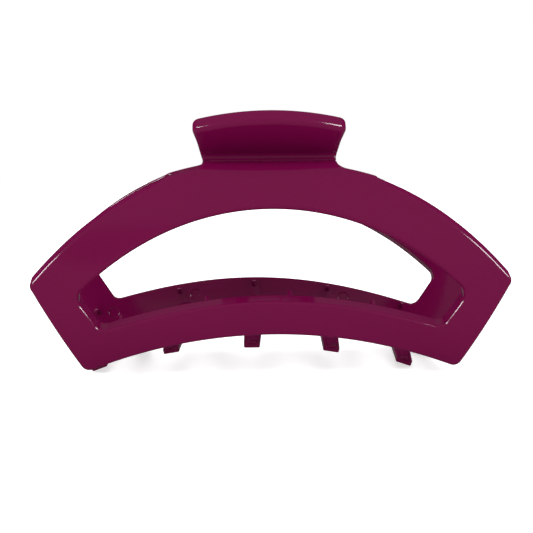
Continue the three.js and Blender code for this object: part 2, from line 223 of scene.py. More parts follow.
def closed_outline(sides, radii):
    """One closed loop of points from its sides and the radius of the corner after each side."""
    sides = [np.asarray(side, float) for side in sides]
    arcs = [None] * len(sides)
    for i, radius in enumerate(radii):
        j = (i + 1) % len(sides)
        sides[i], arcs[i], sides[j] = smooth_corner(sides[i], sides[j], radius)
    rows = []
    for side, arc in zip(sides, arcs):
        rows += [side, arc]
    loop = []
    for point in np.vstack(rows):
        if not loop or min(math.dist(point, loop[-1]), math.dist(point, loop[0])) > loop_least:
            loop.append(point)
    return np.array(loop)


def straight(a, b):
    """Points along a straight side of an outline."""
    a, b = np.array(a, float), np.array(b, float)
    count = max(fewest_on_line, int(np.linalg.norm(b - a) / loop_step))
    return a + (b - a) * np.linspace(0, 1, count)[:, None]


def along_curve(curve, from_x, to_x):
    """Points along a curved side of an outline."""
    x = np.linspace(from_x, to_x, max(fewest_on_curve, int(abs(to_x - from_x) / loop_step)))
    return np.stack([x, curve_at(curve, x)], -1)


class Skin:
    """Points with their own normals, and faces, that grow into one smooth mesh."""

    def __init__(self):
        self.points, self.normals, self.faces, self.count = [], [], [], 0

    def add(self, points, normals):
        """Takes in points, and gives the place of the first."""
        start = self.count
        self.points.append(np.asarray(points, float))
        self.normals.append(np.asarray(normals, float))
        self.count += len(points)
        return start

    def strip(self, rings, normals):
        """Quads between closed rings of equal count."""
        starts = [self.add(ring, normal) for ring, normal in zip(rings, normals)]
        n = len(rings[0])
        for a, b in zip(starts, starts[1:]):
            for i in range(n):
                j = (i + 1) % n
                self.faces.append((a + i, b + i, b + j, a + j))
        return starts

    def include(self, mesh):
        """Takes in another closed mesh with its smooth normals."""
        points = np.array([v.co for v in mesh.vertices])
        normals = np.array([v.normal for v in mesh.vertices])
        start = self.add(points / mm, normals)
        self.faces += [tuple(start + i for i in p.vertices) for p in mesh.polygons]

    def mesh(self, name, turned=False):
        """The whole skin as a mesh in metres. Turned gives it half a turn about the upright axis."""
        points = np.vstack(self.points) * mm
        normals = unit(np.vstack(self.normals))
        if turned:
            points = points * (-1, -1, 1)
            normals = normals * (-1, -1, 1)
        made = bpy.data.meshes.new(name)
        made.from_pydata(points.tolist(), [], self.faces)
        made.validate()
        for polygon in made.polygons:
            polygon.use_smooth = True
        made.normals_split_custom_set_from_vertices(normals.tolist())
        return made


def inside(loop, points):
    """Which points lie inside a closed loop."""
    x, y = points[:, 0], points[:, 1]
    odd = np.zeros(len(points), bool)
    for (ax, ay), (bx, by) in zip(loop, np.roll(loop, -1, axis=0)):
        if ay == by:
            continue
        crosses = (ay > y) != (by > y)
        odd ^= crosses & (x < (bx - ax) * (y - ay) / (by - ay) + ax)
    return odd


def fill_skin(skin, surface, loops, outside, extra, starts):
    """Covers the region between the loops with triangles that lie on the surface."""
    low, high = loops[0].min(0), loops[0].max(0)
    xs = np.arange(low[0], high[0], skin_step)
    ys = np.arange(low[1], high[1], skin_step)
    grid = np.stack(np.meshgrid(xs, ys), -1).reshape(-1, 2)
    if len(extra):
        away = np.linalg.norm(grid[:, None] - extra[None], axis=2).min(1)
        grid = np.vstack([grid[away > skin_clear], extra])
    grid = grid[inside(loops[0], grid)]
    for hole in loops[1:]:
        grid = grid[~inside(hole, grid)]
    edge = np.vstack(loops)
    away = np.array([np.min(np.hypot(edge[:, 0] - g[0], edge[:, 1] - g[1])) for g in grid])
    grid = grid[away > skin_clear]
    corners = [Vector(p) for p in np.vstack([edge, grid]).tolist()]
    joins, at = [], 0
    for loop in loops:
        joins += [(at + i, at + (i + 1) % len(loop)) for i in range(len(loop))]
        at += len(loop)
    placed, _, triangles, origins, _, _ = delaunay_2d_cdt(corners, joins, [], 0, join_tolerance)
    placed = np.array([tuple(p) for p in placed])
    middles = np.array([placed[list(t)].mean(0) for t in triangles])
    keep = inside(loops[0], middles)
    for hole in loops[1:]:
        keep &= ~inside(hole, middles)
    first = skin.add(surface(grid[:, 0], grid[:, 1]), skin_normal(surface, grid[:, 0], grid[:, 1], outside))
    index = []
    for start, loop in zip(starts, loops):
        index += list(range(start, start + len(loop)))
    index += list(range(first, first + len(grid)))
    for use, triangle in zip(keep, triangles):
        if use:
            corner = [index[origins[i][0]] for i in triangle]
            skin.faces.append(tuple(corner if outside > 0 else corner[::-1]))


def untangled(loop, reach=30):
    """Straightens the few neighbouring points where a loop would cross itself in a tight corner."""
    def side(a, b, c):
        return (b[0] - a[0]) * (c[1] - a[1]) - (b[1] - a[1]) * (c[0] - a[0])

    count = len(loop)
    for gap in range(2, reach):
        for i in range(count):
            a, b, c, d = (loop[k % count].copy() for k in (i, i + 1, i + gap, i + gap + 1))
            if side(a, b, c) * side(a, b, d) < 0 and side(c, d, a) * side(c, d, b) < 0:
                for k in range(1, gap + 1):
                    loop[(i + k) % count] = a + (d - a) * k / (gap + 1)
    return loop


def rounded_edge(surface, loop, wall_normal, face_normal, radius, outside, steps=5, landing_tries=3):
    """Rings of a rounded edge, from the wall to the face, and where its last ring lies on the surface."""
    edge = surface(loop[:, 0], loop[:, 1])
    cosine = np.sum(wall_normal * face_normal, -1, keepdims=True)
    centre = edge - (wall_normal + face_normal) * radius / (1 + cosine)
    angle = np.arccos(np.clip(cosine, -1, 1))
    rings, normals = [], []
    for i in range(steps):
        t = i / steps
        normal = unit(wall_normal * np.sin((1 - t) * angle) + face_normal * np.sin(t * angle))
        rings.append(centre + radius * normal)
        normals.append(normal)
    landing = centre + radius * face_normal
    place = loop.copy()
    for _ in range(landing_tries):
        here = surface(place[:, 0], place[:, 1])
        across = (surface(place[:, 0] + tiny_step, place[:, 1]) - here) / tiny_step
        up = (surface(place[:, 0], place[:, 1] + tiny_step) - here) / tiny_step
        gap = landing - here
        aa = np.sum(across * across, -1)
        ab = np.sum(across * up, -1)
        bb = np.sum(up * up, -1)
        ag = np.sum(across * gap, -1)
        bg = np.sum(up * gap, -1)
        scale = aa * bb - ab * ab
        place[:, 0] += (ag * bb - bg * ab) / scale
        place[:, 1] += (bg * aa - ag * ab) / scale
    place = untangled(place)
    rings.append(surface(place[:, 0], place[:, 1]))
    normals.append(skin_normal(surface, place[:, 0], place[:, 1], outside))
    return rings, normals, place


def moulded_sheet(skin, outer, inner, loops, edges, extra=()):
    """A sheet with rounded edges between an outer and an inner surface, cut to an outline and its windows."""
    outer_side, inner_side = (outer, 1, edges[0], []), (inner, -1, edges[1], [])
    outer_starts, inner_starts = [], []
    for loop in loops:
        following = np.roll(loop, -1, axis=0) - np.roll(loop, 1, axis=0)
        through = inner(loop[:, 0], loop[:, 1]) - outer(loop[:, 0], loop[:, 1])
        rings, normals = [], []
        for surface, sign, edge, places in (outer_side, inner_side):
            ahead = surface(loop[:, 0] + following[:, 0] / 2, loop[:, 1] + following[:, 1] / 2)
            behind = surface(loop[:, 0] - following[:, 0] / 2, loop[:, 1] - following[:, 1] / 2)
            wall_normal = unit(np.cross(through, ahead - behind))
            beside = surface(loop[:, 0] + following[:, 1] / 2, loop[:, 1] - following[:, 0] / 2)
            side = np.sum((beside - surface(loop[:, 0], loop[:, 1])) * wall_normal, -1)
            wall_normal *= (np.sign(side) * np.sign(np.median(side)))[:, None]
            face_normal = skin_normal(surface, loop[:, 0], loop[:, 1], sign)
            edge_rings, edge_normals, place = rounded_edge(surface, loop, wall_normal, face_normal, edge, sign)
            rings += edge_rings[::-sign]
            normals += edge_normals[::-sign]
            places.append(place)
        starts = skin.strip(rings, normals)
        outer_starts.append(starts[0])
        inner_starts.append(starts[-1])
    fill_skin(skin, outer, outer_side[3], 1, np.zeros((0, 2)), outer_starts)
    fill_skin(skin, inner, inner_side[3], -1, np.array(extra).reshape(-1, 2), inner_starts)


def askew_by(points, askew):
    """Shears a row of outline points: a jaw that hangs a little askew on its pin."""
    points = np.array(points, float)
    points[..., 1] += askew * points[..., 0]
    return points


def as_high(points, most=6, halvings=20):
    """Lengthens outline heights near the neck, so that the rolled skin ends as high as the plain face."""
    low, high = points[:, 1].copy(), points[:, 1] + most
    goal = face_side(points[:, 1])[1] + wall * sin_tilt
    for _ in range(halvings):
        middle = (low + high) / 2
        rise = np.maximum(skin_wall(points[:, 0], middle)[:, 2], 0)
        short = outer_skin(points[:, 0], middle)[:, 2] + rise < goal
        low, high = np.where(short, middle, low), np.where(short, high, middle)
    return np.stack([points[:, 0], high], -1)


def frame_outlines(askew, spread):
    """The outline of a jaw and of its window. Spread widens the side bar at the negative end."""
    wide = (wide_reach, curve_at(band_curve, wide_reach))
    foot = (foot_curve[1], curve_at(foot_curve, foot_curve[1]))
    band_left = as_high(askew_by(along_curve(band_curve, -neck_half, -wide[0]), askew))
    foot_arc = askew_by(along_curve(foot_curve, -foot[0], foot[0]), askew)
    band_left[:, 0] -= spread * eased(neck_half + bar_spread_from, wide[0], -band_left[:, 0])
    foot_arc[:, 0] -= spread * eased(foot[0] - foot_spread_run, foot[0], -foot_arc[:, 0])
    band_right = as_high(askew_by(along_curve(band_curve, wide[0], neck_half), askew))
    outline = closed_outline(
        [
            straight((neck_half, neck_end), (-neck_half, neck_end)),
            straight((-neck_half, neck_end), band_left[0]),
            band_left,
            straight(band_left[-1], foot_arc[0]),
            foot_arc,
            straight(foot_arc[-1], band_right[0]),
            band_right,
            straight(band_right[-1], (neck_half, neck_end)),
        ],
        [neck_corner, neck_fillet, wide_round, foot_round, foot_round, wide_round, neck_fillet, neck_corner],
    )
    high = (window_top_curve[1], curve_at(window_top_curve, window_top_curve[1]))
    low = (window_foot_curve[1], curve_at(window_foot_curve, window_foot_curve[1]))
    window = closed_outline(
        [
            askew_by(along_curve(window_top_curve, -high[0], high[0]), askew),
            askew_by(straight(high, low), askew),
            askew_by(along_curve(window_foot_curve, low[0], -low[0]), askew * foot_askew),
            askew_by(straight((-low[0], low[1]), (-high[0], high[1])), askew),
        ],
        [window_round] * 4,
    )
    return [outline, window]


# Paddle: the thumb lever on top of the bridge, part of the same moulding. It is a flat plate that leans out,
# flares a little towards a shallow arc and grows out of the bridge over a concave fillet.
paddle_tilt = math.radians(50)
paddle_wall = 4.2
paddle_end = (-22.42, hinge_high + 8.85)
paddle_half = 19.9
paddle_bulge = 3.6
paddle_corner = 2.2
paddle_edge = 1.1
paddle_lip = 1.7
paddle_root = 1.1
root_sink = 0.03
root_under = -3.5
root_inset = 0.5
root_edge = 0.35
edge_grows = 4.0
flank_share = 0.35
root_round = 1.0
flare_round = 6.0
tip_points = 60
root_run = 9.0
root_steps = 400
root_turn_from = 0.6
root_turn_to = 0.85

paddle_run = np.array([-math.sin(paddle_tilt), math.cos(paddle_tilt)])
paddle_in = np.array([math.cos(paddle_tilt), math.sin(paddle_tilt)])
apex = np.array(paddle_end) - paddle_run * (paddle_end[1] - bridge_top) / paddle_run[1]
root_reach = paddle_root / math.tan(math.pi / 4 - paddle_tilt / 2)
root_centre = np.array([apex[0] - root_reach, bridge_top + paddle_root - root_sink])
root_sweep = math.pi - (math.pi / 2 - paddle_tilt)
root_length = paddle_root * root_sweep
plate_start = apex + paddle_run * root_reach
plate_length = float(np.linalg.norm(np.array(paddle_end) - plate_start))


def paddle_outer(x, t):
    """The paddle's outer face at a run t: up from the bridge, round the root fillet and out along the plate."""
    turn = np.clip(t, 0, root_length) / paddle_root - math.pi / 2
    y = root_centre[0] + paddle_root * np.cos(turn)
    z = root_centre[1] + paddle_root * np.sin(turn)
    on = np.clip(t - root_length, 0, None)
    under = np.clip(t, None, 0)
    return np.stack([x, y + paddle_run[0] * on, z + under + paddle_run[1] * on], -1)


# The inner face runs straight down towards the hinge, then turns down into the bridge.
root_down = np.linspace(0, 1, root_steps)
root_turn = paddle_tilt - math.pi / 2 - paddle_tilt * eased(root_turn_from, root_turn_to, root_down)
root_path = np.cumsum(np.stack([np.cos(root_turn), np.sin(root_turn)], -1), axis=0) * root_run / root_steps


def paddle_inner(x, t):
    """The paddle's inner face at the same run."""
    near = plate_start + paddle_in * paddle_wall
    up = np.clip(t - root_length, 0, None)
    down = (root_length - t) / (root_length - root_under)
    y = near[0] + paddle_run[0] * up + np.interp(down, root_down, root_path[:, 0] - root_path[0, 0])
    z = near[1] + paddle_run[1] * up + np.interp(down, root_down, root_path[:, 1] - root_path[0, 1])
    return np.stack([x, y, z], -1)


def paddle_sheet(skin):
    """Adds the paddle to a jaw: flared flanks, a shallow arc for a tip, and a rounded lip that fades at the root."""
    end = root_length + plate_length
    flank = [(neck_half - root_inset, root_under), (neck_half, root_length * flank_share)]
    shoulder = (paddle_half, end - paddle_bulge)
    x = np.linspace(paddle_half, -paddle_half, tip_points)
    tip = np.stack([x, end - paddle_bulge * (x / paddle_half) ** 2], -1)
    loop = closed_outline(
        [
            straight((-flank[0][0], flank[0][1]), flank[0]),
            straight(flank[0], flank[1]),
            straight(flank[1], shoulder),
            tip,
            straight((-shoulder[0], shoulder[1]), (-flank[1][0], flank[1][1])),
            straight((-flank[1][0], flank[1][1]), (-flank[0][0], flank[0][1])),
        ],
        [root_round, flare_round, paddle_corner, paddle_corner, flare_round, root_round],
    )
    grown = eased(root_length * flank_share, root_length + edge_grows, loop[:, 1])[:, None]
    edges = [root_edge + (edge - root_edge) * grown for edge in (paddle_lip, paddle_edge)]
    moulded_sheet(skin, paddle_outer, paddle_inner, [loop], edges)


# Knuckles: two barrels a jaw, moulded on the bridge's end, that take turns with the other jaw's along the pin.
# Each is a barrel on a web, with a running bore and a small chamfer all round.
knuckle_radius = 3.5
knuckle_width = 4.7
knuckle_gap = 0.3
spring_bay = 14.4
bore_radius = 1.4
knuckle_edge = 0.25
barrel_from = -0.5
barrel_to = 0.9
barrel_points = 40
bore_sides = 32
web_run = 4
web_overlap = 0.2


def knuckle_mesh(from_x, to_x):
    """One knuckle between two places along the pin."""
    web = bridge_end - web_run
    web_foot = bridge_top - bridge_wall + web_overlap
    angles = np.linspace(math.pi * barrel_from, math.pi * barrel_to, barrel_points)
    barrel = [(knuckle_radius * math.cos(a), hinge_high + knuckle_radius * math.sin(a)) for a in angles]
    outline = barrel + [(web, hinge_high), (web, web_foot), (bridge_end, web_foot)]
    turns = np.linspace(0, 2 * math.pi, bore_sides + 1)[:-1]
    bore = [(bore_radius * math.cos(a), hinge_high + bore_radius * math.sin(a)) for a in turns]
    corners = [Vector(p) for p in outline + bore]
    n, m = len(outline), len(bore)
    joins = [(i, (i + 1) % n) for i in range(n)] + [(n + i, n + (i + 1) % m) for i in range(m)]
    placed, _, triangles, origins, _, _ = delaunay_2d_cdt(corners, joins, [], 0, join_tolerance)
    index = [o[0] for o in origins]
    middles = np.array([np.mean([placed[i][:] for i in t], axis=0) for t in triangles])
    keep = inside(np.array(outline), middles) & ~inside(np.array(bore), middles)
    total = n + m
    points = [(from_x, y, z) for y, z in outline + bore] + [(to_x, y, z) for y, z in outline + bore]
    faces = [tuple(index[i] for i in t)[::-1] for t, k in zip(triangles, keep) if k]
    faces += [tuple(index[i] + total for i in t) for t, k in zip(triangles, keep) if k]
    faces += [(a, b, b + total, a + total) for a, b in joins]
    made = bpy.data.meshes.new("knuckle")
    made.from_pydata([tuple(c * mm for c in p) for p in points], [], faces)
    shaped = bmesh.new()
    shaped.from_mesh(made)
    bmesh.ops.recalc_face_normals(shaped, faces=shaped.faces)
    shaped.to_mesh(made)
    shaped.free()
    return made


# Teeth, ribs and prongs: five long teeth swing in from the rail's foot, each with a half-round rib on its upper
# side. A faint rib runs on up the rail to a short prong with a domed end. They are moulded with the jaw, and the
# teeth lie square to the rail's arch.
front_prongs = (-38.2, -16.3, 4.6, 25.8, 47.0)
front_tips = ((-34.9, 0.1), (-15.7, 4.1), (4.5, 5.1), (24.3, 4.1), (42.0, 0.1))
back_prongs = (-48.3, -24.9, -3.6, 17.5, 38.7)
back_tips = ((-44.5, -0.2), (-25.9, 3.7), (-5.0, 4.8), (15.6, 3.5), (34.5, 0.0))
back_marks = (-43.7, -20.3, 22.1)
root_share = 0.935
tooth_reach = 16.4
tooth_sag_at = -10.5
tooth_sag = 0.8
tooth_margin = 0.9
tooth_width = 6.0
tooth_thick = 2.2
tooth_edge = 0.42
tooth_flare = 0.1
tooth_taper = 0.31
tooth_nose = 0.014
tooth_nose_end = 0.8
tooth_rib_half = 1.9
tooth_rib_high = 0.75
tooth_rings = 44
tooth_above_foot = 0.3
tooth_root_share = 0.5
slope_step = 0.1
bar_corner_points = 5
bar_rib_sides = 28
flare_fade = 14.0
rib_half = 1.5
rib_high = 0.05
rib_crown = 1.5
prong_below = 2.0
prong_base = 0.68
prong_taper = 0.15
prong_nose = 0.16
prong_nose_end = 0.1
prong_flare = 0.2
prong_length = 3.4
prong_rings = 40
prong_rib_half = 0.2
prong_rib_high = 0.02
prong_edge_share = 0.98
prong_sunk = 0.3
mark_radius = 1.5
mark_depth = 0.22
mark_edge_in = 0.2
mark_edge_out = 0.1
mark_rings = (1.1, 1.28, 1.36, 1.44, 1.52, 1.6, 1.75)
mark_ring_points = 36
rib_from_foot = 0.8
rib_from_window = 0.5
rib_row_step = 0.4
rib_row_half = 1.1
rib_row_points = 13


def new_node(tree, kind, settings, values):
    """A node with its settings, and then the values or links of its sockets. i0, i1, ... go by place."""
    made = tree.nodes.new(kind)
    for key, value in (settings or {}).items():
        setattr(made, key, value)
    for key, value in values.items():
        by_place = key[0] == "i" and key[1:].isdigit()
        socket = made.inputs[int(key[1:]) if by_place else key.replace("_", " ")]
        if isinstance(value, bpy.types.NodeSocket):
            tree.links.new(value, socket)
        else:
            socket.default_value = value
    return made


class Plan:
    """A geometry node tree under construction."""

    def __init__(self, name, inputs):
        self.tree = bpy.data.node_groups.new(name, "GeometryNodeTree")
        self.tree.interface.new_socket("Geometry", in_out="OUTPUT", socket_type="NodeSocketGeometry")
        for label, kind in inputs:
            self.tree.interface.new_socket(label, in_out="INPUT", socket_type="NodeSocket" + kind)
        self.given = self.tree.nodes.new("NodeGroupInput").outputs
        self.made = self.tree.nodes.new("NodeGroupOutput")

    def node(self, kind, settings=None, **values):
        return new_node(self.tree, kind, settings, values).outputs[0]

    def number(self, operation, a, b=0.0):
        """A sum on numbers."""
        return self.node("ShaderNodeMath", {"operation": operation}, i0=a, i1=b)

    def between(self, share, a, b):
        """The point at a share of the way from a to b."""
        step = self.node("ShaderNodeVectorMath", {"operation": "SUBTRACT"}, i0=b, i1=a)
        part = self.node("ShaderNodeVectorMath", {"operation": "SCALE"}, i0=step, Scale=share)
        return self.node("ShaderNodeVectorMath", {"operation": "ADD"}, i0=a, i1=part)

    def finish(self, geometry):
        """Smooth shading, real instances and the material close the tree."""
        smooth = self.node("GeometryNodeSetShadeSmooth", Geometry=geometry)
        real = self.node("GeometryNodeRealizeInstances", Geometry=smooth)
        dressed = self.node("GeometryNodeSetMaterial", Geometry=real, Material=self.given["Material"])
        self.tree.links.new(dressed, self.made.inputs["Geometry"])

    def mesh(self, base=None, **values):
        """The tree's result for these inputs, as a plain mesh."""
        holder = bpy.data.objects.new("plan", base or bpy.data.meshes.new("plan"))
        bpy.context.scene.collection.objects.link(holder)
        modifier = holder.modifiers.new("plan", "NODES")
        modifier.node_group = self.tree
        for item in self.tree.interface.items_tree:
            if item.in_out == "INPUT" and item.name in values:
                modifier[item.identifier] = values[item.name]
        bpy.context.view_layer.update()
        made = bpy.data.meshes.new_from_object(holder.evaluated_get(bpy.context.evaluated_depsgraph_get()))
        bpy.data.objects.remove(holder)
        return made


def moulded_bar_plan():
    """One moulded bar: a flat section with a half-round rib on top, swept along a bend to a rounded nose."""
    inputs = [(name, "Vector") for name in ("Root", "Bend", "Tip")] + [("Rings", "Int")]
    inputs += [(name, "Float") for name in ("Width", "Thickness", "Edge", "Rib_Half", "Rib_High")]
    inputs += [(name, "Float") for name in ("Flare", "Taper", "Nose", "Nose_End", "Turn")]
    plan = Plan("moulded_bar", inputs + [("Material", "Material")])
    given, node, number, between = plan.given, plan.node, plan.number, plan.between
    line = node("GeometryNodeCurvePrimitiveLine", Start=given["Root"], End=given["Tip"])
    rings = node("GeometryNodeResampleCurve", Curve=line, Count=given["Rings"])
    left = number("SUBTRACT", 1.0, node("GeometryNodeSplineParameter"))
    close = number("SUBTRACT", 1.0, number("MULTIPLY", left, left))
    swing = between(close, between(close, given["Root"], given["Bend"]), between(close, given["Bend"], given["Tip"]))
    bend = node("GeometryNodeSetPosition", Geometry=rings, Position=swing)
    level = node("GeometryNodeSetCurveNormal", {"mode": "Z_UP"}, Curve=bend)
    turned = node("GeometryNodeSetCurveTilt", Curve=level, Tilt=given["Turn"])
    plate = node("GeometryNodeCurvePrimitiveQuadrilateral", Width=given["Width"], Height=given["Thickness"])
    soft = node("GeometryNodeFilletCurve", {"mode": "POLY"}, Curve=plate, Radius=given["Edge"],
                Count=bar_corner_points)
    round_bar = node("GeometryNodeCurvePrimitiveCircle", Resolution=bar_rib_sides, Radius=given["Rib_Half"])
    shares = node("ShaderNodeCombineXYZ", X=1.0, Y=number("DIVIDE", given["Rib_High"], given["Rib_Half"]), Z=1.0)
    lift = node("ShaderNodeCombineXYZ", Y=number("MULTIPLY", given["Thickness"], -0.5))
    rib = node("GeometryNodeTransform", Geometry=round_bar, Translation=lift, Scale=shares)
    flare = number("MULTIPLY", given["Flare"], number("POWER", left, flare_fade))
    taper = number("MULTIPLY", given["Taper"], number("SUBTRACT", 1.0, left))
    back = number("SUBTRACT", 1.0, number("MINIMUM", number("DIVIDE", left, given["Nose"]), 1.0))
    round_off = number("SUBTRACT", 1.0, number("SQRT", number("SUBTRACT", 1.0, number("MULTIPLY", back, back))))
    nose = number("SUBTRACT", 1.0, number("MULTIPLY", round_off, number("SUBTRACT", 1.0, given["Nose_End"])))
    scale = number("MULTIPLY", number("SUBTRACT", number("ADD", 1.0, flare), taper), nose)
    swept = [
        node("GeometryNodeCurveToMesh", Curve=turned, Profile_Curve=profile, Scale=scale, Fill_Caps=True)
        for profile in (soft, rib)
    ]
    joined = node("GeometryNodeJoinGeometry", Geometry=swept[0])
    plan.tree.links.new(swept[1], joined.node.inputs[0])
    plan.finish(joined)
    return plan


bar_plan = moulded_bar_plan()


class Shade:
    """A shader socket that takes part in Python sums."""

    def __init__(self, tree, socket):
        self.tree, self.socket = tree, socket

    def node(self, kind, settings=None, output=0, **inputs):
        values = {key: value.socket if isinstance(value, Shade) else value for key, value in inputs.items()}
        return Shade(self.tree, new_node(self.tree, kind, settings, values).outputs[output])

    def math(self, operation, a, b):
        return self.node("ShaderNodeMath", {"operation": operation}, i0=a, i1=b)

    def __add__(self, other):
        return self.math("ADD", self, other)

    __radd__ = __add__

    def __mul__(self, other):
        return self.math("MULTIPLY", self, other)

    __rmul__ = __mul__

    def __sub__(self, other):
        return self.math("SUBTRACT", self, other)

    def __rsub__(self, other):
        return self.math("SUBTRACT", other, self)

    def smooth(self, low, high):
        """From 0 to 1 while this value goes from low to high, easing in and out."""
        return self.node("ShaderNodeMapRange", {"interpolation_type": "SMOOTHSTEP"}, i0=self, i1=low, i2=high)

    def mixed(self, first, second):
        """The first colour where this value is 0, the second where it is 1."""
        return self.node("ShaderNodeMix", {"data_type": "RGBA"}, output=2, i0=self, i6=first, i7=second)


def new_material(name):
    """A material, its tree, its shader and its Object coordinates."""
    material = bpy.data.materials.new(name)
    material.use_nodes = True
    tree = material.node_tree
    shader = tree.nodes["Principled BSDF"]
    place = tree.nodes.new("ShaderNodeTexCoord")
    return material, tree, shader, Shade(tree, place.outputs["Object"])


plastic_dark = (0.128, 0.0012, 0.040, 1)
plastic_light = (0.142, 0.0016, 0.046, 1)
plastic_rough_least = 0.07
plastic_rough_spread = 0.04


def burgundy_plastic():
    """Moulded gloss plastic, coloured through, with very faint flow marks and a skin that is not quite flat."""
    material, tree, shader, place = new_material("burgundy_plastic")
    flow = place.node("ShaderNodeTexNoise", Vector=place, Scale=55.0, Detail=3.0, Roughness=0.5)
    fine = place.node("ShaderNodeTexNoise", Vector=place, Scale=900.0, Detail=2.0, Roughness=0.6)
    colour = flow.mixed(plastic_dark, plastic_light)
    tree.links.new(colour.socket, shader.inputs["Base Color"])
    rough = plastic_rough_least + plastic_rough_spread * fine
    tree.links.new(rough.socket, shader.inputs["Roughness"])
    bump = place.node("ShaderNodeBump", Strength=0.05, Distance=0.0002, Height=flow)
    tree.links.new(bump.socket, shader.inputs["Normal"])
    shader.inputs["IOR"].default_value = 1.5
    return material


plastic = burgundy_plastic()


def root_x(at):
    """Where a tooth leaves the rail: square below its prong, but inside the rail's foot corners."""
    return math.copysign(min(abs(at) * root_share, foot_curve[1] - tooth_width / 2 - tooth_margin), at)


def foot_height(x, askew):
    """Height of the rail's foot on a jaw that hangs askew."""
    return curve_at(foot_curve, x) + askew * x


def window_foot_height(x, askew):
    """Height of the window's foot on a jaw that hangs askew."""
    return curve_at(window_foot_curve, x) + askew * x


def rib_line(at, s, askew):
    """The middle of a rib at height s, and the height where its prong stands."""
    top = window_foot_height(at, askew) - prong_below
    foot_x = root_x(at)
    low = curve_at(foot_curve, foot_x) + askew * at
    return foot_x + (at - foot_x) * np.clip((s - low) / (top - low), 0, 1), top


def jaw_inner_skin(prongs, marks, askew):
    """The inner skin of a jaw, with the ribs under its prongs raised and the round marks pressed in."""
    def inner(x, s):
        raised = 0 * x
        for at in prongs:
            middle, top = rib_line(at, s, askew)
            across = (x - middle) / rib_half
            cap = np.clip((s - top) / rib_half, 0, None)
            hump = np.clip(1 - across ** 2 - cap ** 2, 0, 1)
            raised = np.maximum(raised, rib_high * hump ** rib_crown)
        for at in marks:
            high = window_foot_height(at, askew) - prong_below - mark_radius
            away = np.hypot(x - at, s - high)
            raised = raised - mark_depth * (1 - eased(mark_radius - mark_edge_in, mark_radius + mark_edge_out, away))
        through = skin_wall(x, s)
        return outer_skin(x, s) + through * (1 + raised / wall)[..., None]
    return inner


def fine_places(prongs, marks, askew):
    """Extra skin points that the ribs and marks need."""
    places = []
    for at in prongs:
        low = curve_at(foot_curve, root_x(at)) + askew * at + rib_from_foot
        high = window_foot_height(at, askew) - rib_from_window
        for s in np.arange(low, high, rib_row_step):
            middle, _ = rib_line(at, s, askew)
            row = np.linspace(-rib_row_half, rib_row_half, rib_row_points)
            places += [(middle + share * rib_half, s) for share in row]
    turns = np.linspace(0, 2 * math.pi, mark_ring_points + 1)[:-1]
    for at in marks:
        high = window_foot_height(at, askew) - prong_below - mark_radius
        for radius in mark_rings:
            places += [(at + radius * math.cos(a), high + radius * math.sin(a)) for a in turns]
    return places


mould_way = np.array([0, cos_tilt, sin_tilt])


def tooth_mesh(at, tip_x, tip_low, askew):
    """A long tooth, from inside the rail's foot to its tip."""
    here = root_x(at)
    above = foot_height(here, askew) + tooth_thick + tooth_above_foot
    start = outer_skin(np.array([here]), np.array([above]))[0] + mould_way * wall * tooth_root_share
    end = np.array([tip_x, tooth_reach, tip_low + tooth_thick * (1 - tooth_taper) / 2])
    bend = end + (start - end) * tooth_sag
    bend[1] = tooth_sag_at
    rise = curve_at(foot_curve, here + slope_step) - curve_at(foot_curve, here - slope_step)
    slope = rise / (2 * slope_step) + askew
    return bar_plan.mesh(
        Root=list(start * mm), Bend=list(bend * mm), Tip=list(end * mm), Rings=tooth_rings,
        Width=tooth_width * mm, Thickness=tooth_thick * mm, Edge=tooth_edge * mm,
        Rib_Half=tooth_rib_half * mm, Rib_High=tooth_rib_high * mm, Flare=tooth_flare, Taper=tooth_taper,
        Nose=tooth_nose, Nose_End=tooth_nose_end, Turn=-math.atan(slope), Material=plastic)


def prong_mesh(at, lift, askew):
    """A short round prong with a domed end, on the rail's inner face."""
    top = window_foot_height(at, askew) - prong_below + lift
    base = outer_skin(np.array([at]), np.array([top]))[0]
    start = base + mould_way * (wall - prong_sunk)
    end = base + mould_way * (wall + prong_length)
    return bar_plan.mesh(
        Root=list(start * mm), Bend=list((start + end) / 2 * mm), Tip=list(end * mm), Rings=prong_rings,
        Width=2 * prong_base * mm, Thickness=2 * prong_base * mm, Edge=prong_base * prong_edge_share * mm,
        Rib_Half=prong_rib_half * mm, Rib_High=prong_rib_high * mm, Flare=prong_flare, Taper=prong_taper,
        Nose=prong_nose, Nose_End=prong_nose_end, Turn=0.0, Material=plastic)


def jaw_mesh(name, prongs, tips, marks, turned, lift=0.0, askew=0.0, spread=0.0):
    """A whole jaw as one mesh. Turned puts it at the back, half a turn about the upright axis."""
    skin = Skin()
    inner = jaw_inner_skin(prongs, marks, askew)
    moulded_sheet(skin, outer_skin, inner, frame_outlines(askew, spread), (outer_edge, inner_edge),
                  fine_places(prongs, marks, askew))
    paddle_sheet(skin)
    near = spring_bay / 2
    far = near + knuckle_width + knuckle_gap
    for low in (near, -far - knuckle_width):
        skin.include(bevelled(knuckle_mesh(low, low + knuckle_width)))
    for at, (tip_x, tip_low) in zip(prongs, tips):
        skin.include(tooth_mesh(at, tip_x, tip_low, askew))
        skin.include(prong_mesh(at, lift, askew))
    return skin.mesh(name, turned)


def bevelled(mesh):
    """A small chamfer on the sharp edges of a mesh."""
    holder = bpy.data.objects.new("chamfer", mesh)
    bpy.context.scene.collection.objects.link(holder)
    edge = holder.modifiers.new("edge", "BEVEL")
    edge.width = knuckle_edge * mm
    edge.segments = 3
    edge.limit_method = "ANGLE"
    edge.angle_limit = math.radians(40)
    bpy.context.view_layer.update()
    made = bpy.data.meshes.new_from_object(holder.evaluated_get(bpy.context.evaluated_depsgraph_get()))
    bpy.data.objects.remove(holder)
    return made


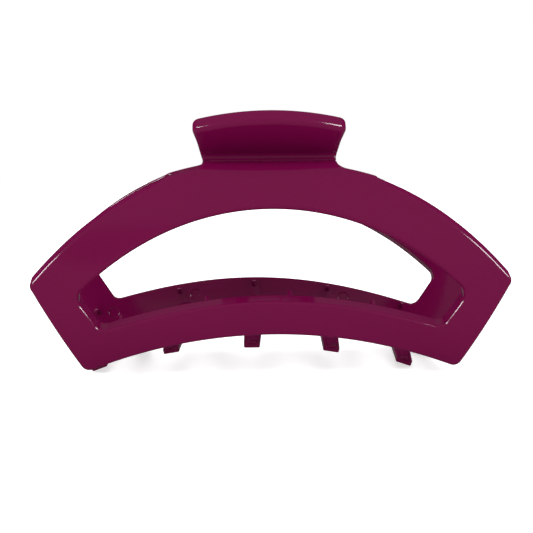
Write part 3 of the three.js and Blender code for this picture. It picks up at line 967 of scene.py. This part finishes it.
def finished_piece(name, mesh, body, material, slot, *nodes):
    """A visible piece that rides on a body and stands for the body's plain nodes."""
    piece = bpy.data.objects.new(name, mesh)
    piece.data.materials.clear()
    piece.data.materials.append(material)
    bpy.context.scene.collection.objects.link(piece)
    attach(piece, body)
    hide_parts(*nodes)
    return piece


front_prong_lift = 1.1
front_jaw = finished_piece(
    "front_jaw_moulding", jaw_mesh("front_jaw_moulding", front_prongs, front_tips, (), False, front_prong_lift),
    "front_jaw", plastic, "plastic", "front_jaw")

# Back jaw: the same moulding turned half round, with its teeth set to pass between the front jaw's. Round
# ejector marks show beside its prongs, and it hangs a little askew on its pin.
jaw_askew = 0.025
bar_spread = 0.8
turned_prongs = [-x for x in back_prongs]
turned_tips = [(-x, z) for x, z in back_tips]
turned_marks = [-x for x in back_marks]
back_jaw = finished_piece(
    "back_jaw_moulding", jaw_mesh("back_jaw_moulding", turned_prongs, turned_tips, turned_marks, True,
                                  askew=jaw_askew, spread=bar_spread),
    "back_jaw", plastic, "plastic", "back_jaw")


# Hinge pin: a plain drawn steel pin with chamfered ends, pressed through the knuckles of both jaws.
pin_radius = 1.1
pin_half = 16.1
pin_chamfer = 0.25
pin_sides = 48
weld_distance = 0.001
steel_grain = (60.0, 2600.0, 2600.0)
steel_dark = (0.50, 0.51, 0.52, 1)
steel_light = (0.60, 0.61, 0.63, 1)
steel_rough_least = 0.2
steel_rough_spread = 0.14


def drawn_steel():
    """Bright drawn wire: fine lines along it, and a satin skin."""
    material, tree, shader, place = new_material("drawn_steel")
    stretched = place.node("ShaderNodeVectorMath", {"operation": "MULTIPLY"}, i0=place, i1=steel_grain)
    lines = place.node("ShaderNodeTexNoise", Vector=stretched, Scale=1.0, Detail=2.0)
    rough = steel_rough_least + steel_rough_spread * lines
    tree.links.new(rough.socket, shader.inputs["Roughness"])
    tone = lines.mixed(steel_dark, steel_light)
    tree.links.new(tone.socket, shader.inputs["Base Color"])
    shader.inputs["Metallic"].default_value = 1.0
    return material


steel = drawn_steel()


def pin_mesh():
    """Rings of a turned pin: flat ends, chamfers and a straight shank."""
    profile = [(-pin_half, 0.0), (-pin_half, pin_radius - pin_chamfer), (-pin_half + pin_chamfer, pin_radius)]
    profile += [(-x, r) for x, r in reversed(profile)]
    points, faces = [], []
    for x, r in profile:
        for i in range(pin_sides):
            a = 2 * math.pi * i / pin_sides
            points.append((x * mm, r * math.cos(a) * mm, (hinge_high + r * math.sin(a)) * mm))
    for row in range(len(profile) - 1):
        for i in range(pin_sides):
            j = (i + 1) % pin_sides
            a, b = row * pin_sides, (row + 1) * pin_sides
            faces.append((a + i, a + j, b + j, b + i))
    made = bpy.data.meshes.new("hinge_pin_turned")
    made.from_pydata(points, [], faces)
    shaped = bmesh.new()
    shaped.from_mesh(made)
    bmesh.ops.remove_doubles(shaped, verts=shaped.verts, dist=weld_distance * mm)
    bmesh.ops.recalc_face_normals(shaped, faces=shaped.faces)
    shaped.to_mesh(made)
    shaped.free()
    for polygon in made.polygons:
        on_end = abs(polygon.normal.x) >= 0.5
        polygon.use_smooth = not on_end
    return made


hinge_pin = finished_piece("hinge_pin_turned", pin_mesh(), "front_jaw", steel, "steel", "hinge_pin")


# Spring: a torsion spring of drawn wire, wound round the pin between the middle knuckles. Its two legs lie on
# the paddles' inner faces and push them apart.
wire_radius = 0.5
coil_radius = 2.4
coil_pitch = 1.6
coil_whole_turns = 6
leg_length = 11.0
leg_shares = (1, 0.75, 0.5, 0.25)
coil_steps = 24
wire_sides = 14


def spring_route():
    """Points along the wire's middle, from the end of one leg to the end of the other."""
    start = paddle_tilt + math.pi
    end = 2 * math.pi * (1 + coil_whole_turns) - paddle_tilt
    length = coil_pitch * (end - start) / (2 * math.pi)
    steps = round((end - start) / (2 * math.pi) * coil_steps)
    route = [(start, -length / 2, -leg_length * share) for share in leg_shares]
    route += [(start + (end - start) * i / steps, length * (i / steps - 0.5), 0.0) for i in range(steps + 1)]
    route += [(end, length / 2, leg_length * share) for share in reversed(leg_shares)]
    points = []
    for turn, x, out in route:
        y = coil_radius * math.cos(turn) - out * math.sin(turn)
        z = hinge_high + coil_radius * math.sin(turn) + out * math.cos(turn)
        points.append((x * mm, y * mm, z * mm))
    return points, length


def wire_plan():
    """Round wire along a row of points, with flat capped ends."""
    plan = Plan("wire", [("Geometry", "Geometry"), ("Wire_Radius", "Float"), ("Material", "Material")])
    given, node = plan.given, plan.node
    path = node("GeometryNodeMeshToCurve", Mesh=given["Geometry"])
    section = node("GeometryNodeCurvePrimitiveCircle", Resolution=wire_sides, Radius=given["Wire_Radius"])
    swept = node("GeometryNodeCurveToMesh", Curve=path, Profile_Curve=section, Fill_Caps=True)
    plan.finish(swept)
    return plan


spring_points, spring_length = spring_route()
spring_line = bpy.data.meshes.new("spring_line")
spring_line.from_pydata(spring_points, [(i, i + 1) for i in range(len(spring_points) - 1)], [])
spring = bpy.data.objects.new(
    "spring_wire", wire_plan().mesh(spring_line, Wire_Radius=wire_radius * mm, Material=steel))
bpy.context.scene.collection.objects.link(spring)
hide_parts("spring")
hinge_line = Vector((0, 0, hinge_high * mm))
tuple(hinge_line - Vector((spring_length / 2 * mm, 0, 0)))
tuple(hinge_line + Vector((spring_length / 2 * mm, 0, 0)))
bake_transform(spring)


# Studio: a pale floor that keeps the clip's soft shadow, a white surround and soft lamps. The floor lies just
# under the turned corners of the outer teeth, and its paper is lifted towards white for the camera alone. In the
# clip's gloss the paper is painted dark grey: a painted reflection, darker than the floor that lights the clip.
floor_size = 4.0
floor_drop = 1.0
paper_lift = 0.6
paper_tint = (0.9, 0.9, 0.9, 1)
# Painted reflection: the paper turns dark grey in the clip's gloss alone, while it still lights the clip as pale
# paper.
paper_painted_reflection = (0.13, 0.13, 0.13, 1)
floor_mesh = bpy.data.meshes.new("floor")
half = floor_size / 2
floor_mesh.from_pydata(
    [(-half, -half, 0), (half, -half, 0), (half, half, 0), (-half, half, 0)], [], [(0, 1, 2, 3)])
floor = bpy.data.objects.new("floor", floor_mesh)
floor.location.z = -floor_drop * mm
bpy.context.scene.collection.objects.link(floor)
paper, paper_tree, paper_shader, paper_place = new_material("floor_paper")
paper_rays = paper_tree.nodes.new("ShaderNodeLightPath")
paper_seen = Shade(paper_tree, paper_rays.outputs["Is Camera Ray"])
paper_mirrored = Shade(paper_tree, paper_rays.outputs["Is Glossy Ray"])
paper_tone = paper_mirrored.mixed(paper_tint, paper_painted_reflection)
paper_tree.links.new(paper_tone.socket, paper_shader.inputs["Base Color"])
paper_shader.inputs["Roughness"].default_value = 0.9
paper_shader.inputs["Specular IOR Level"].default_value = 0.0
paper_glow = paper_place.node("ShaderNodeEmission", Strength=paper_seen * paper_lift)
paper_sum = paper_place.node("ShaderNodeAddShader", i0=Shade(paper_tree, paper_shader.outputs[0]), i1=paper_glow)
paper_tree.links.new(paper_sum.socket, paper_tree.nodes["Material Output"].inputs["Surface"])
floor.data.materials.append(paper)

# The surround is white to the camera and lights the clip evenly. The clip's gloss shows a dim room in front,
# darker around the camera, grey overhead, and the plastic's own deep red behind.
room_light = 1.3
white = (1, 1, 1, 1)
front_gloss = (0.19, 0.19, 0.19, 1)
camera_gloss = (0.09, 0.09, 0.09, 1)
over_gloss = (0.16, 0.155, 0.16, 1)
back_gloss = (0.16, 0.018, 0.07, 1)
front_ends, back_begins = -0.8, 0.3
camera_way = (-0.03, -0.99, 0.13)
camera_dim_from, camera_dim_to = 0.982, 0.996
over_from, over_to = 0.5, 0.85
world = bpy.data.worlds.new("studio")
bpy.context.scene.world = world
world.use_nodes = True
sky = world.node_tree
sky_rays = sky.nodes.new("ShaderNodeLightPath")
sky_seen = Shade(sky, sky_rays.outputs["Is Camera Ray"])
sky_mirrored = Shade(sky, sky_rays.outputs["Is Glossy Ray"])
sky_way = Shade(sky, sky.nodes.new("ShaderNodeTexCoord").outputs["Generated"])
sky_depth = sky_way.node("ShaderNodeSeparateXYZ", output=1, Vector=sky_way)
sky_height = sky_way.node("ShaderNodeSeparateXYZ", output=2, Vector=sky_way)
sky_ahead = sky_way.node("ShaderNodeVectorMath", {"operation": "DOT_PRODUCT"}, output=1, i0=sky_way, i1=camera_way)
sky_front = sky_ahead.smooth(camera_dim_from, camera_dim_to).mixed(front_gloss, camera_gloss)
sky_back = sky_height.smooth(over_from, over_to).mixed(back_gloss, over_gloss)
sky_gloss = sky_depth.smooth(front_ends, back_begins).mixed(sky_front, sky_back)
sky_lit = sky_mirrored.mixed((room_light, room_light, room_light, 1), sky_gloss)
sky_tone = sky_seen.mixed(sky_lit, white)
sky.links.new(sky_tone.socket, sky.nodes["Background"].inputs["Color"])

lamp_target = Vector((0, 0, 0.03))


def soft_lamp(name, around, off_axis, distance, length, depth, radiance):
    """A softbox that shows only in the clip's gloss. Around turns about the line of sight from the right upwards."""
    out = Vector((math.cos(around), 0, math.sin(around)))
    away = out * math.sin(off_axis) + Vector((0, -math.cos(off_axis), 0))
    along = Vector((-math.sin(around), 0, math.cos(around)))
    data = bpy.data.lights.new(name, "AREA")
    data.shape = "RECTANGLE"
    data.size = length
    data.size_y = depth
    data.energy = radiance * math.pi * length * depth
    lamp = bpy.data.objects.new(name, data)
    facing = Matrix((along, away.cross(along), away)).transposed().to_4x4()
    lamp.matrix_world = Matrix.Translation(lamp_target + away * distance) @ facing
    lamp.visible_camera = False
    lamp.visible_diffuse = False
    bpy.context.scene.collection.objects.link(lamp)


soft_lamp("right_softbox", around=math.radians(31), off_axis=math.radians(50),
          distance=0.6, length=0.16, depth=0.28, radiance=18)
soft_lamp("left_softbox", around=math.radians(151), off_axis=math.radians(50),
          distance=0.6, length=0.12, depth=0.28, radiance=18)

bpy.context.scene.view_settings.view_transform = "Standard"
